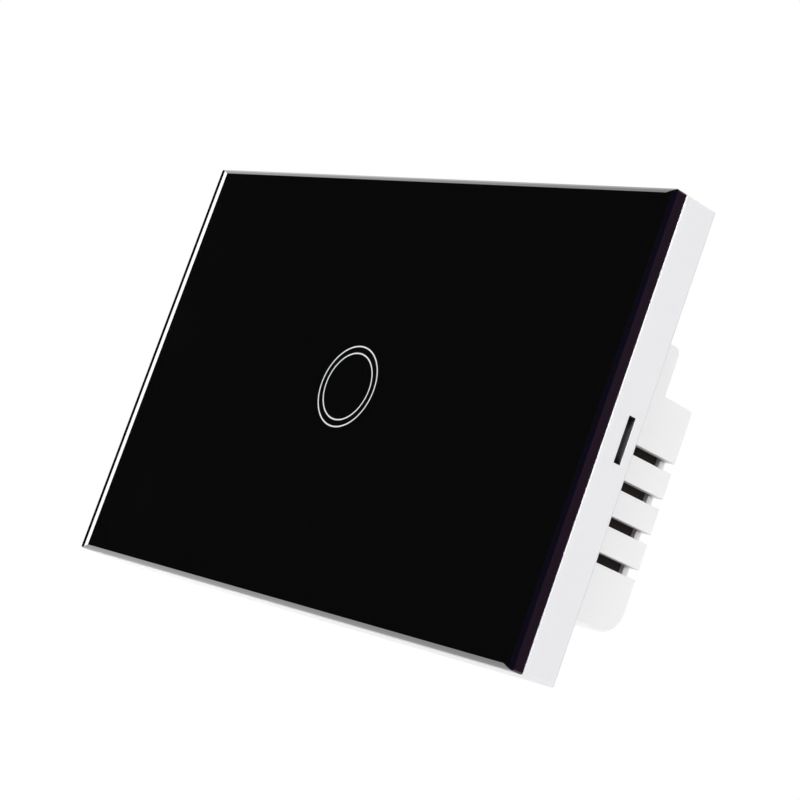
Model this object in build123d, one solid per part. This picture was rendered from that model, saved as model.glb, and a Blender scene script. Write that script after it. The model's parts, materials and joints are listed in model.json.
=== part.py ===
from build123d import *
import os
from math import cos, pi, sin, sqrt

# Landscape one-gang touch light switch, in millimetres.
# A bevelled black glass front sits on a white clip-fit frame. Behind it a steel chassis screws to the
# wall box and carries a stepped white housing with the touch board, the power board, a relay and
# three rising-cage screw terminals.
# The origin is the centre of the face that meets the wall: +X is right seen from the front,
# +Y goes into the wall and +Z is up.

# General values
overrun = 1.0
snug = 0.1
slip = 0.2
loose = 0.3
thread_slack = 0.05

# Glass front: a flat face, a shallow polished facet and a steeper edge facet. The facets are as deep
# all round, but wider along the left and right sides than along the top and bottom ones.
glass_width = 120.0
glass_height = 75.0
glass_thickness = 2.1
glass_corner = 0.4
face_facet_depth = 0.08
edge_facet_depth = 0.16
side_face_facet = 1.1
side_edge_facet = 1.1
level_face_facet = 0.45
level_edge_facet = 0.3

# Double ring inlaid in the glass over the touch point
ring_inner_radius = 5.85
ring_outer_radius = 7.06
ring_line = 0.25
ring_depth = 0.12

# Clip-fit frame behind the glass
frame_depth = 6.7
frame_wall = 1.8
frame_web = 1.2
frame_edge_break = 0.3
window_radius = 11.0
window_rib = 1.2
window_rib_height = 0.6
pry_length = 7.4
pry_width = 1.4
pry_above_wall = 1.8
pry_corner = 0.15
hook_width = 8.0
hook_thickness = 1.2
hook_spacing = 52.0
hook_gap = 0.25
hook_reach = 0.85
hook_floor_gap = 0.25
hook_lip_gap = 0.15

# Double-sided tape in pockets of the frame's web
tape_width = 6.0
tape_thickness = 0.3
tape_inset = 4.0
tape_middle_gap = 8.0

# Light diffuser in the frame's window
diffuser_thickness = 1.0
diffuser_spring_gap = 0.95

# Steel mounting chassis with two slotted screw holes
chassis_thickness = 1.2
chassis_corner = 3.0
chassis_gap = 0.5
screw_spacing = 84.0
slot_radius = 2.1
slot_length = 9.0

# Rear housing: a deep block and a shallower terminal ledge on top
housing_width = 72.0
housing_top = 23.2
housing_bottom = -24.5
block_top = 15.1
block_rear = 32.9
ledge_rear = 25.6
housing_wall = 1.6
housing_floor = 1.2
bottom_round = 4.5
ledge_round = 1.3
block_round = 0.6
corner_round = 0.4
flange_lip = 1.4
flange_thickness = 1.2
flange_corner = 1.0
ear_offset = 3.2
ear_radius = 3.2
ear_spacing = 32.0

# Vent slots that wrap the rear side edges
vent_count = 4
vent_height = 1.75
vent_pitch = 6.15
vent_rise = 0.3
vent_depth = 10.1
vent_wrap = 2.4

# Screw bosses of the housing
boss_side = 5.4
boss_low = 5.3
boss_high = 5.0
boss_base_radius = 3.0
boss_neck_radius = 2.2
boss_core_radius = 1.1
boss_core_depth = 8.0

# Inner cover over the boards
cover_side_gap = 0.5
cover_overhang = 1.8
cover_thickness = 1.8
cover_corner = 2.0
cover_rim = 1.0
cover_rim_depth = 2.0
collar_bore = 9.5
collar_wall = 1.0

# Screws
cover_head_radius = 2.3
cover_head_height = 1.3
cover_shank_length = 7.0
chassis_head_radius = 2.25
chassis_head_height = 1.4
chassis_shank_radius = 1.2
recess_width = 0.6
recess_depth = 0.6
recess_span_share = 0.8

# Circuit boards
board_thickness = 1.6
touch_board_front = 1.0
touch_board_boss_gap = 1.4
touch_board_end_gap = 4.25
board_gap = 0.6
spacer_radius = 2.0
spacer_pin = 1.0
spacer_pin_stand = 0.8
spacer_side_inset = 5.0
spacer_end_inset = 6.0

# Touch spring, a coil of bare wire that reaches the glass
spring_radius = 3.0
spring_wire = 0.25
spring_turns = 6

# Parts on the touch board
led_count = 4
led_length = 2.0
led_width = 1.25
led_height = 0.8
led_inset = 2.0
chip_length = 5.0
chip_width = 4.0
chip_height = 1.5
chip_edge = 0.15
chip_collar_gap = 2.0
chip_rise = 6.0
header_pins_count = 5
header_pitch = 2.54
header_width = 2.5
header_height = 2.5
header_spacer_gap = 0.6
header_inset = 4.45
pin_width = 0.64
pin_hole = 0.5
pin_stand = 0.6

# Insulating sleeve round the mains parts
sleeve_wall = 0.5
sleeve_inset = 3.2

# Terminal block with three rising cages
terminal_count = 3
terminal_pitch = 10.0
terminal_sink = 0.3
terminal_side = 2.0
terminal_floor = 0.8
terminal_bottom_wall = 0.8
terminal_mouth = 2.6
wire_bore = 2.0
cage_width = 6.0
cage_side = 0.8
cage_end = 1.1
cage_depth = 4.3
bar_thickness = 1.2
bar_leg = 0.7
bar_slack = 0.15
cage_headroom = 0.6
screw_radius = 1.5
screw_lead = 0.5
screw_turns = 4.5
screw_head_radius = 2.3
screw_head_height = 1.8
screw_head_sink = 0.9
retainer_thickness = 1.0

# Relay
relay_length = 19.0
relay_width = 15.4
relay_base_height = 2.0
relay_cover_wall = 0.8
relay_headroom = 0.4
coil_radius = 4.5
core_radius = 1.5
bobbin_flange = 0.6
bobbin_wall = 0.5
yoke_thickness = 1.2
yoke_width = 10.0
pole_height = 10.2
pole_gap = 0.8
armature_thickness = 1.2
armature_length = 12.6
hinge_gap = 0.15
arm_thickness = 0.4
arm_width = 5.0
contact_radius = 1.2
contact_height = 0.7
contact_gap = 1.3
contact_post = 0.8
contact_post_width = 4.0

# Other mains parts on the power board, a gap apart inside the sleeve
part_gap = 1.0
can_radius = 5.0
can_height = 16.0
can_groove_depth = 0.4
can_groove_height = 2.0
can_edge = 0.5
film_length = 13.0
film_width = 8.0
film_height = 14.0
film_edge = 0.6
varistor_radius = 4.1
varistor_thickness = 3.6
varistor_edge = 0.9
fuse_length = 20.0
fuse_radius = 2.6
fuse_glass_radius = 2.3
fuse_cap_length = 5.0
fuse_lift = 2.2
clip_wall = 0.5
clip_length = 4.0
clip_mouth_share = 0.8
inductor_radius = 5.5
inductor_hub = 2.4
inductor_height = 11.0
inductor_flange = 1.2
inductor_fill = 0.6
bridge_length = 5.0
bridge_width = 4.0
bridge_height = 2.4

# Depths that follow from the sizes above; y runs from the glass, at negative y, into the wall
glass_front = -(glass_thickness + frame_depth)
glass_back = glass_front + glass_thickness
web_back = glass_back + frame_web
chassis_front = -chassis_thickness
flange_front = chassis_front - flange_thickness
cover_front = flange_front - cover_thickness
touch_board_rear = touch_board_front + board_thickness
vent_front = block_rear - vent_depth

# Depths of a terminal, from the ledge forwards to the power board
cage_travel = screw_lead * screw_turns
terminal_rear = ledge_rear - terminal_sink
screw_rear = terminal_rear - screw_head_sink
screw_seat = screw_rear - screw_head_height
recess_floor = screw_seat - snug
cavity_rear = recess_floor - retainer_thickness
cage_rear = cavity_rear - bar_slack - cage_travel
bar_rear = cage_rear - cage_end - cage_headroom
bar_front = bar_rear - bar_thickness
wire_y = bar_front - wire_bore
cage_front = wire_y - wire_bore - cage_end
power_board_rear = cage_front - snug - terminal_floor
power_board_front = power_board_rear - board_thickness

# Depths of the relay, from the power board to the rear
relay_floor = power_board_rear + relay_base_height
yoke_rear = relay_floor + snug + yoke_thickness
pole_rear = relay_floor + pole_height
armature_front = pole_rear + pole_gap
armature_rear = armature_front + armature_thickness
yoke_top = armature_front - hinge_gap
relay_rear = armature_rear + arm_thickness + relay_headroom + relay_cover_wall
fixed_contact_rear = armature_rear - contact_height - contact_gap

# Heights and widths of the housing, its bosses and the boards
housing_mid_z = (housing_top + housing_bottom) / 2
housing_height = housing_top - housing_bottom
vent_mid_z = (housing_bottom + block_top) / 2 + vent_rise
inner_half_width = housing_width / 2 - housing_wall
inner_top = housing_top - housing_wall
inner_bottom = housing_bottom + housing_wall
cover_width = housing_width - 2 * cover_side_gap
cover_height = housing_height + 2 * (flange_lip + cover_overhang)
boss_x = housing_width / 2 - boss_side
boss_z = (housing_bottom + boss_low, housing_top - boss_high)
boss_spots = [(sx * boss_x, z) for sx in (-1, 1) for z in boss_z]
ear_spots = [
    (sx * (housing_width / 2 + ear_offset), housing_mid_z + sz * ear_spacing / 2)
    for sx in (-1, 1)
    for sz in (-1, 1)
]
touch_board_width = 2 * (boss_x - boss_neck_radius - touch_board_boss_gap)
touch_board_height = inner_top - inner_bottom - 2 * touch_board_end_gap
spacer_x = touch_board_width / 2 - spacer_side_inset
spacer_z = touch_board_height / 2 - spacer_end_inset
spacer_spots = [(sx * spacer_x, housing_mid_z + sz * spacer_z) for sx in (-1, 1) for sz in (-1, 1)]
header_length = header_pins_count * header_pitch
header_x = -spacer_x + spacer_radius + header_spacer_gap + header_length / 2
header_z = housing_mid_z - touch_board_height / 2 + header_inset
header_xs = [
    header_x + (i - (header_pins_count - 1) / 2) * header_pitch for i in range(header_pins_count)
]
led_circle = collar_bore - led_inset
chip_x = collar_bore + collar_wall + chip_collar_gap + chip_length / 2

# Heights and widths of a terminal, from the housing's top down
terminal_top = housing_top - terminal_sink
cavity_top = terminal_top - terminal_mouth
cage_top = cavity_top - loose
cage_low = cage_top - cage_depth
bar_low = cage_low - 2 * slip - bar_leg
cavity_low = bar_low - slip
terminal_low = cavity_low - terminal_bottom_wall
screw_z = (cage_top + cage_low) / 2
cavity_half = cage_width / 2 + bar_slack
terminal_half = (terminal_count - 1) / 2 * terminal_pitch + cavity_half + terminal_side
terminal_xs = [(i - (terminal_count - 1) / 2) * terminal_pitch for i in range(terminal_count)]

# The sleeve's room and the places of the parts in it
sleeve_half = housing_width / 2 - sleeve_inset
sleeve_low = boss_z[0] + boss_base_radius + board_gap
sleeve_top = min(block_top - housing_wall - snug, terminal_low - slip)
room_half = sleeve_half - sleeve_wall
room_low = sleeve_low + sleeve_wall
room_top = sleeve_top - sleeve_wall
room_mid_z = (room_low + room_top) / 2
relay_x = -room_half + part_gap + relay_length / 2
relay_right = relay_x + relay_length / 2
relay_inner_half = relay_length / 2 - relay_cover_wall
yoke_x = relay_x + relay_inner_half - slip - yoke_thickness / 2
yoke_edge = yoke_x + yoke_thickness / 2
coil_x = yoke_x - yoke_thickness / 2 - loose - coil_radius
contact_x = relay_x - relay_inner_half + loose + contact_radius
can_x = relay_right + part_gap + can_radius
can_z = max(room_low + part_gap, header_z + pin_width / 2 + loose) + can_radius
inductor_x = can_x + can_radius + part_gap + inductor_radius
inductor_z = room_low + part_gap + inductor_radius
varistor_x = relay_right + part_gap + varistor_radius
film_x = varistor_x + varistor_radius + part_gap + film_length / 2
film_z = room_top - part_gap - film_width / 2
bridge_z = (can_z + can_radius + film_z - varistor_thickness / 2) / 2
clip_outer = fuse_radius + slip + clip_wall
fuse_x = room_half - part_gap - clip_outer
fuse_y = power_board_rear + fuse_lift + fuse_radius


def box(x0, x1, y0, y1, z0, z1):
    """A block between two corners."""
    return Pos((x0 + x1) / 2, (y0 + y1) / 2, (z0 + z1) / 2) * Box(x1 - x0, y1 - y0, z1 - z0)


def box_at(x, z, width, height, y0, y1):
    """A block centred on a spot of the wall plane, from one depth to another."""
    return box(x - width / 2, x + width / 2, y0, y1, z - height / 2, z + height / 2)


def facing(y):
    """The sketch plane at this depth: its x is +X and its y is +Z."""
    return Plane.XZ.offset(-y)


def plate(width, height, corner, y0, y1, x=0, z=0):
    """A plate with rounded corners, parallel to the wall."""
    outline = facing(y0) * Pos(x, z) * RectangleRounded(width, height, corner)
    return extrude(outline, y0 - y1)


def rod(x, z, radius, y0, y1):
    """A round bar square to the wall."""
    return Pos(x, (y0 + y1) / 2, z) * Rot(X=-90) * Cylinder(radius, y1 - y0)


def tube(x, z, radius, bore, y0, y1):
    """A round tube square to the wall."""
    return rod(x, z, radius, y0, y1) - rod(x, z, bore, y0 - overrun, y1 + overrun)


def cone(x, z, radius0, radius1, y0, y1):
    """A cone square to the wall, from one radius to the other."""
    return Pos(x, (y0 + y1) / 2, z) * Rot(X=-90) * Cone(radius0, radius1, y1 - y0)


def bar_along_z(x, y, radius, z0, z1):
    """A round bar that stands upright."""
    return Pos(x, y, (z0 + z1) / 2) * Cylinder(radius, z1 - z0)


def edges_near(solid, axis, *points):
    """The edges along an axis that lie nearest to the points."""
    along = solid.edges().filter_by(axis)
    return [along.sort_by_distance(Vector(*point))[0] for point in points]


def save(name, *pieces):
    """Write a node's solids to its file."""
    solids = [s for piece in pieces for s in piece.solids()]
    export_step(solids[0] if len(solids) == 1 else Compound(solids), f"parts/{name}.step")


def glass_panel():
    """The glass: flat face, two facets all round, straight sides, rounded corners, two ring grooves."""
    facets = [
        (glass_front, side_face_facet + side_edge_facet, level_face_facet + level_edge_facet),
        (glass_front + face_facet_depth, side_edge_facet, level_edge_facet),
        (glass_front + face_facet_depth + edge_facet_depth, 0, 0),
    ]
    outlines = [
        facing(y) * Rectangle(glass_width - 2 * side, glass_height - 2 * level)
        for y, side, level in facets
    ]
    glass = loft(outlines[:2], ruled=True) + loft(outlines[1:], ruled=True)
    glass += box_at(0, 0, glass_width, glass_height, facets[-1][0], glass_back)
    glass &= plate(glass_width, glass_height, glass_corner, glass_front, glass_back)
    for ring in ring_marks():
        glass -= ring
    return glass


def ring_marks():
    """The two ring lines, flush with the glass."""
    return [
        tube(0, 0, r + ring_line / 2, r - ring_line / 2, glass_front, glass_front + ring_depth)
        for r in (ring_inner_radius, ring_outer_radius)
    ]


def hook(side, x):
    """One snap hook of the frame: a leg beside the inner cover and a barb behind its rim."""
    rim = housing_mid_z + side * cover_height / 2
    leg_inner = rim + side * hook_gap
    leg_outer = leg_inner + side * hook_thickness
    barb_tip = leg_inner - side * hook_reach
    foot = chassis_front - hook_floor_gap
    x0, x1 = x - hook_width / 2, x + hook_width / 2
    leg = box(x0, x1, web_back - snug, foot, min(leg_inner, leg_outer), max(leg_inner, leg_outer))
    barb_front = flange_front + hook_lip_gap
    barb = box(x0, x1, barb_front, foot, min(barb_tip, leg_outer), max(barb_tip, leg_outer))
    return leg + barb


def tape_strips(shrink):
    """The four tape strips, two above and two below the window, each side drawn in by this much."""
    inner, outer = tape_middle_gap / 2, glass_width / 2 - tape_inset
    z = glass_height / 2 - tape_inset - tape_width / 2
    width, height = outer - inner - 2 * shrink, tape_width - 2 * shrink
    return [
        box_at(sx * (inner + outer) / 2, sz * z, width, height, glass_back, glass_back + tape_thickness)
        for sx in (-1, 1)
        for sz in (-1, 1)
    ]


def panel_frame():
    """The white skirt and web behind the glass, with its window, pry slot, tape pockets and hooks."""
    shell = plate(glass_width, glass_height, glass_corner, glass_back, 0)
    front = [e for e in shell.edges() if e.bounding_box().max.Y < glass_back + frame_edge_break]
    shell = chamfer(front, frame_edge_break)
    shell -= box_at(
        0, 0, glass_width - 2 * frame_wall, glass_height - 2 * frame_wall, web_back, overrun
    )
    shell += rod(0, 0, window_radius + window_rib, web_back, web_back + window_rib_height)
    shell -= rod(0, 0, window_radius, glass_back - overrun, web_back + overrun)
    for pocket in tape_strips(0):
        shell -= pocket
    pry_y = -pry_above_wall - pry_width / 2
    pry = Plane(origin=(0, pry_y, 0), x_dir=(0, 1, 0), z_dir=(1, 0, 0))
    slot = pry * RectangleRounded(pry_width, pry_length, pry_corner)
    shell -= extrude(slot, glass_width)
    for side in (-1, 1):
        for x in (-hook_spacing / 2, hook_spacing / 2):
            shell += hook(side, x)
    return shell


def panel_tape():
    """Four strips of double-sided tape that hold the glass to the frame."""
    return tape_strips(snug)


def light_diffuser():
    """Milky disc behind the rings, with a hole for the touch spring."""
    hole = spring_radius + spring_wire + diffuser_spring_gap
    return tube(0, 0, window_radius - slip, hole, glass_back, glass_back + diffuser_thickness)


def mounting_chassis():
    """Steel plate: window for the housing, two slots for the wall screws, four small screw holes."""
    width = glass_width - 2 * (frame_wall + chassis_gap)
    height = glass_height - 2 * (frame_wall + chassis_gap)
    steel = plate(width, height, chassis_corner, chassis_front, 0)
    steel -= box_at(
        0, housing_mid_z, housing_width + 2 * loose, housing_height + 2 * loose,
        chassis_front - overrun, overrun,
    )
    for sx in (-1, 1):
        slot = facing(chassis_front - overrun) * Pos(sx * screw_spacing / 2, 0)
        steel -= extrude(
            slot * SlotOverall(slot_length, 2 * slot_radius), -(chassis_thickness + 2 * overrun)
        )
    for x, z in ear_spots:
        steel -= rod(x, z, chassis_shank_radius + thread_slack, chassis_front - overrun, overrun)
    return steel


def housing_profile(inset, floor, front):
    """The stepped side outline of the housing, in y and z, shrunk by a wall and a floor."""
    points = [
        (front, housing_bottom + inset),
        (block_rear - floor, housing_bottom + inset),
        (block_rear - floor, block_top - inset),
        (ledge_rear - floor, block_top - inset),
        (ledge_rear - floor, housing_top - inset),
        (front, housing_top - inset),
    ]
    side = Plane(origin=(0, 0, 0), x_dir=(0, 1, 0), z_dir=(1, 0, 0))
    half = housing_width / 2 - inset
    return extrude(side * make_face(Polyline(*points, close=True)), half, both=True)


def rear_housing():
    """The stepped housing with its flange, screw bosses, terminal notch and wrap-around vents."""
    half = housing_width / 2
    body = housing_profile(0, 0, flange_front)
    body = fillet(edges_near(body, Axis.X, (0, block_rear, housing_bottom)), bottom_round)
    body = fillet(edges_near(body, Axis.X, (0, ledge_rear, housing_top)), ledge_round)
    body = fillet(edges_near(body, Axis.X, (0, block_rear, block_top)), block_round)
    rear = edges_near(body, Axis.Z, (half, block_rear, 0), (-half, block_rear, 0))
    body = fillet(rear, corner_round)
    lip = 2 * flange_lip
    body += plate(
        housing_width + lip, housing_height + lip, flange_corner, flange_front, chassis_front,
        z=housing_mid_z,
    )
    for x, z in ear_spots:
        body += rod(x, z, ear_radius, flange_front, chassis_front)
        body += box(
            min(x, 0), max(x, 0), flange_front, chassis_front, z - ear_radius, z + ear_radius
        )
    cavity = housing_profile(housing_wall, housing_floor, flange_front - overrun)
    cavity = fillet(
        edges_near(cavity, Axis.X, (0, block_rear - housing_floor, inner_bottom)),
        bottom_round - housing_wall,
    )
    body -= cavity
    for x, z in boss_spots:
        rear_wall = (ledge_rear if z > block_top else block_rear) - housing_floor / 2
        body += rod(x, z, boss_base_radius, power_board_rear, rear_wall)
        body += rod(x, z, boss_neck_radius, flange_front, power_board_rear + overrun)
        body -= rod(x, z, boss_core_radius, flange_front - overrun, flange_front + boss_core_depth)
    for x, z in ear_spots:
        body -= rod(x, z, chassis_shank_radius + snug, flange_front - overrun, 0)
    body -= box(
        -terminal_half - loose, terminal_half + loose, power_board_rear, block_rear,
        block_top + loose, housing_top + overrun,
    )
    for i in range(vent_count):
        z = vent_mid_z + (i - (vent_count - 1) / 2) * vent_pitch
        for sx in (-1, 1):
            x = sx * (half - vent_wrap / 2 + overrun / 2)
            body -= box_at(x, z, vent_wrap + overrun, vent_height, vent_front, block_rear + overrun)
    return body


def inner_cover():
    """White lid over the boards: locating rim, light collar and four countersunk screw holes."""
    lid = plate(cover_width, cover_height, cover_corner, cover_front, flange_front, z=housing_mid_z)
    rim_w = 2 * (inner_half_width - slip)
    rim_h = inner_top - inner_bottom - 2 * slip
    rim_end = flange_front + cover_rim_depth
    lid += box_at(0, housing_mid_z, rim_w, rim_h, flange_front, rim_end) - box_at(
        0, housing_mid_z, rim_w - 2 * cover_rim, rim_h - 2 * cover_rim, flange_front, rim_end + overrun
    )
    lid += rod(0, 0, collar_bore + collar_wall, flange_front, touch_board_front - slip)
    lid -= rod(0, 0, collar_bore, cover_front - overrun, touch_board_front + overrun)
    for x, z in boss_spots:
        lid -= rod(x, z, boss_neck_radius + slip, flange_front, rim_end + overrun)
        lid -= rod(x, z, boss_core_radius + snug, cover_front - overrun, flange_front + overrun)
        lid -= cone(
            x, z, cover_head_radius + snug, boss_core_radius + snug,
            cover_front, cover_front + cover_head_height,
        )
    return lid


def cross_recess(x, z, span, y0, y1):
    """The cross cut of a screw head."""
    return box_at(x, z, span, recess_width, y0, y1) + box_at(x, z, recess_width, span, y0, y1)


def cover_screw(x, z):
    """Countersunk screw that holds the cover to a boss."""
    screw = cone(x, z, cover_head_radius, boss_core_radius, cover_front, cover_front + cover_head_height)
    screw += rod(
        x, z, boss_core_radius - thread_slack,
        cover_front + cover_head_height / 2, cover_front + cover_shank_length,
    )
    return screw - cross_recess(
        x, z, cover_head_radius, cover_front - overrun, cover_front + recess_depth
    )


def chassis_screw(x, z):
    """Pan-head screw through an ear of the housing into the chassis."""
    head = rod(x, z, chassis_head_radius, flange_front - chassis_head_height, flange_front)
    head += rod(x, z, chassis_shank_radius, flange_front, -snug)
    top = flange_front - chassis_head_height
    return head - cross_recess(x, z, chassis_head_radius, top - overrun, top + recess_depth)


def touch_board():
    """Board behind the cover, with spacer and header holes."""
    board = box_at(
        0, housing_mid_z, touch_board_width, touch_board_height, touch_board_front, touch_board_rear
    )
    for x, z in spacer_spots:
        board -= rod(x, z, spacer_pin + snug, touch_board_front - overrun, touch_board_rear + overrun)
    for x in header_xs:
        board -= rod(x, header_z, pin_hole, touch_board_front - overrun, touch_board_rear + overrun)
    return board


def power_board():
    """Mains board, held on the shoulders of the bosses."""
    half = inner_half_width - board_gap
    board = box(
        -half, half, power_board_front, power_board_rear, inner_bottom + board_gap, inner_top - board_gap
    )
    front, rear = power_board_front - overrun, power_board_rear + overrun
    for x, z in boss_spots:
        board -= rod(x, z, boss_neck_radius + slip, front, rear)
    for x, z in spacer_spots:
        board -= rod(x, z, spacer_pin + snug, front, rear)
    for x in header_xs:
        board -= rod(x, header_z, pin_hole, front, rear)
    return board


def board_spacers():
    """Nylon spacers: a pin stands out of the touch board, and one ends inside the power board."""
    pin_front, pin_rear = touch_board_front - spacer_pin_stand, power_board_rear - snug
    return [
        rod(x, z, spacer_radius, touch_board_rear, power_board_front)
        + rod(x, z, spacer_pin, pin_front, pin_rear)
        for x, z in spacer_spots
    ]


def header_pins():
    """Square pins that join the two boards."""
    y0, y1 = touch_board_front - pin_stand, power_board_rear + pin_stand
    return [box_at(x, header_z, pin_width, pin_width, y0, y1) for x in header_xs]


def header_body(y0, y1):
    """A plastic strip of the header, pierced by its pins."""
    strip = box_at(header_x, header_z, header_length, header_width, y0, y1)
    for pin in header_pins():
        strip -= pin
    return strip


def biarc(start, end, start_way, end_way):
    """Two tangent arcs between two points of the coil."""
    chord = end - start
    both = start_way + end_way
    a = both.dot(both) - 4
    b = -2 * chord.dot(both)
    c = chord.dot(chord)
    reach = (-b - sqrt(b * b - 4 * a * c)) / (2 * a)
    first = start + start_way * reach
    last = end - end_way * reach
    middle = (first + last) / 2
    return [
        TangentArc(start, middle, tangent=start_way),
        TangentArc(middle, end, tangent=last - first),
    ]


def touch_spring():
    """A coil of bare wire from the touch board to the back of the glass."""
    bottom = touch_board_front - spring_wire
    top = glass_back + spring_wire + thread_slack
    steps = 4 * spring_turns
    climb = (top - bottom) / steps
    points = []
    ways = []
    for i in range(steps + 1):
        turn = i * pi / 2
        points.append(Vector(spring_radius * cos(turn), bottom + i * climb, spring_radius * sin(turn)))
        rise = climb * 2 / pi
        ways.append(Vector(-spring_radius * sin(turn), rise, spring_radius * cos(turn)).normalized())
    arcs = []
    for i in range(steps):
        arcs += biarc(points[i], points[i + 1], ways[i], ways[i + 1])
    print("touch spring gap between turns", round(abs(4 * climb) - 2 * spring_wire, 3))
    section = Plane(origin=points[0], z_dir=ways[0]) * Circle(spring_wire)
    return sweep(section, path=Wire(arcs))


def status_leds():
    """Four small lamps round the spring that light the rings."""
    lamps = []
    for i in range(led_count):
        turn = (i + 1 / 2) * 2 * pi / led_count
        x, z = led_circle * cos(turn), led_circle * sin(turn)
        lamps.append(
            box_at(x, z, led_length, led_width, touch_board_front - led_height, touch_board_front)
        )
    return lamps


def touch_chip():
    """Touch controller on the front of its board."""
    chip = box_at(
        chip_x, chip_rise, chip_length, chip_width, touch_board_front - chip_height, touch_board_front
    )
    top = [e for e in chip.edges() if e.bounding_box().max.Y < touch_board_front - chip_height / 2]
    return chamfer(top, chip_edge)


def insulating_sleeve():
    """Dark sleeve of insulating board round the mains parts."""
    y0, y1 = power_board_rear + slip, block_rear - housing_floor - slip
    sleeve = box(-sleeve_half, sleeve_half, y0, y1, sleeve_low, sleeve_top)
    return sleeve - box(-room_half, room_half, y0 - overrun, y1 + overrun, room_low, room_top)


def terminal_block():
    """Moulded block in the housing's notch: a cavity, a wire mouth and a screw recess per terminal."""
    step_y = ledge_rear - housing_floor - slip
    step_z = block_top + loose + snug
    body = box(-terminal_half, terminal_half, power_board_rear, step_y, terminal_low, terminal_top)
    body += box(-terminal_half, terminal_half, power_board_rear, terminal_rear, step_z, terminal_top)
    for x in terminal_xs:
        body -= box(
            x - cavity_half, x + cavity_half, power_board_rear + terminal_floor, cavity_rear,
            cavity_low, cavity_top,
        )
        body -= box(
            x - cavity_half, x + cavity_half, power_board_rear - overrun,
            power_board_rear + terminal_floor + overrun, cavity_low, cage_low - slip,
        )
        body -= bar_along_z(x, wire_y, wire_bore, cavity_top - overrun, terminal_top + overrun)
        body -= rod(x, screw_z, screw_head_radius + bar_slack, recess_floor, terminal_rear + overrun)
        body -= rod(x, screw_z, screw_radius + snug, cavity_rear - overrun, recess_floor + overrun)
    return body


def terminal_bar(x):
    """Fixed contact bar inside the cage, with its leg to the power board."""
    half = cage_width / 2 - cage_side - bar_slack
    bar = box(x - half, x + half, bar_front, bar_rear, bar_low, cage_top)
    return bar + box(x - half, x + half, power_board_rear, bar_rear, bar_low, bar_low + bar_leg)


def clamp_cage(x):
    """Rising cage round the bar and the wire space."""
    half = cage_width / 2
    cage = box(x - half, x + half, cage_front, cage_rear, cage_low, cage_top)
    cage -= box(
        x - half + cage_side, x + half - cage_side, cage_front + cage_end, cage_rear - cage_end,
        cage_low - overrun, cage_top + overrun,
    )
    return cage - rod(x, screw_z, screw_radius + thread_slack, bar_rear, cage_rear + overrun)


def terminal_screw(x):
    """Captive clamp screw: its tip bears on the bar and its head is reached from behind."""
    screw = rod(x, screw_z, screw_radius, bar_rear + thread_slack, screw_seat)
    screw += rod(x, screw_z, screw_head_radius, screw_seat, screw_rear)
    span = 2 * screw_head_radius * recess_span_share
    return screw - cross_recess(x, screw_z, span, screw_rear - recess_depth, screw_rear + overrun)


def relay_cover():
    """Thin plastic cap over the relay."""
    cap = box_at(relay_x, room_mid_z, relay_length, relay_width, relay_floor, relay_rear)
    width = relay_width - 2 * relay_cover_wall
    return cap - box_at(
        relay_x, room_mid_z, 2 * relay_inner_half, width,
        relay_floor - overrun, relay_rear - relay_cover_wall,
    )


def relay_base():
    """Base plate of the relay, on the power board."""
    return box_at(relay_x, room_mid_z, relay_length, relay_width, power_board_rear, relay_floor)


def relay_yoke():
    """Iron angle under the coil and up beside it, where the armature pivots."""
    y0 = relay_floor + snug
    low, high = room_mid_z - yoke_width / 2, room_mid_z + yoke_width / 2
    foot = box(coil_x - coil_radius, yoke_edge, y0, yoke_rear, low, high)
    return foot + box(yoke_edge - yoke_thickness, yoke_edge, y0, yoke_top, low, high)


def relay_core():
    """Iron core through the coil; its end is the pole."""
    return rod(coil_x, room_mid_z, core_radius, yoke_rear, pole_rear)


def relay_bobbin():
    """Plastic spool round the core."""
    bore = core_radius + thread_slack
    y0, y1 = yoke_rear + snug, pole_rear - bobbin_flange
    spool = tube(coil_x, room_mid_z, bore + bobbin_wall, bore, y0, y1)
    for y in (y0, y1 - bobbin_flange):
        spool += tube(coil_x, room_mid_z, coil_radius, bore, y, y + bobbin_flange)
    return spool


def relay_coil():
    """Copper winding on the spool."""
    y0 = yoke_rear + snug + bobbin_flange
    y1 = pole_rear - 2 * bobbin_flange
    bore = core_radius + thread_slack + bobbin_wall
    return tube(coil_x, room_mid_z, coil_radius - snug, bore, y0 + thread_slack, y1 - thread_slack)


def relay_armature():
    """Iron flap over the pole, pivoting on the yoke's end."""
    low, high = room_mid_z - yoke_width / 2, room_mid_z + yoke_width / 2
    return box(yoke_edge - armature_length, yoke_edge, armature_front, armature_rear, low, high)


def relay_contact_arm():
    """Spring strip on the armature that carries the moving contact."""
    low, high = room_mid_z - arm_width / 2, room_mid_z + arm_width / 2
    tip = contact_x - contact_radius - snug
    strip = box(tip, yoke_edge, armature_rear, armature_rear + arm_thickness, low, high)
    contact_front = armature_rear - contact_height
    return strip + rod(contact_x, room_mid_z, contact_radius, contact_front, armature_rear)


def relay_fixed_contact():
    """Post from the base, with a shelf that holds the fixed contact under the moving one."""
    shelf_rear = fixed_contact_rear - contact_height
    post = box_at(contact_x, room_mid_z, contact_post, contact_post_width, relay_floor, shelf_rear)
    shelf_width = 2 * (contact_radius + snug)
    post += box_at(
        contact_x, room_mid_z, shelf_width, contact_post_width, shelf_rear - contact_post, shelf_rear
    )
    return post + rod(contact_x, room_mid_z, contact_radius, shelf_rear, fixed_contact_rear)


def smoothing_capacitor():
    """Round electrolytic capacitor with its crimp groove."""
    y0, y1 = power_board_rear, power_board_rear + can_height
    can = rod(can_x, can_z, can_radius, y0, y1)
    can = chamfer(can.edges().sort_by(Axis.Y)[-1], can_edge)
    groove = y0 + can_groove_height
    return can - tube(
        can_x, can_z, can_radius + overrun, can_radius - can_groove_depth, groove, groove + can_groove_depth
    )


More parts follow.
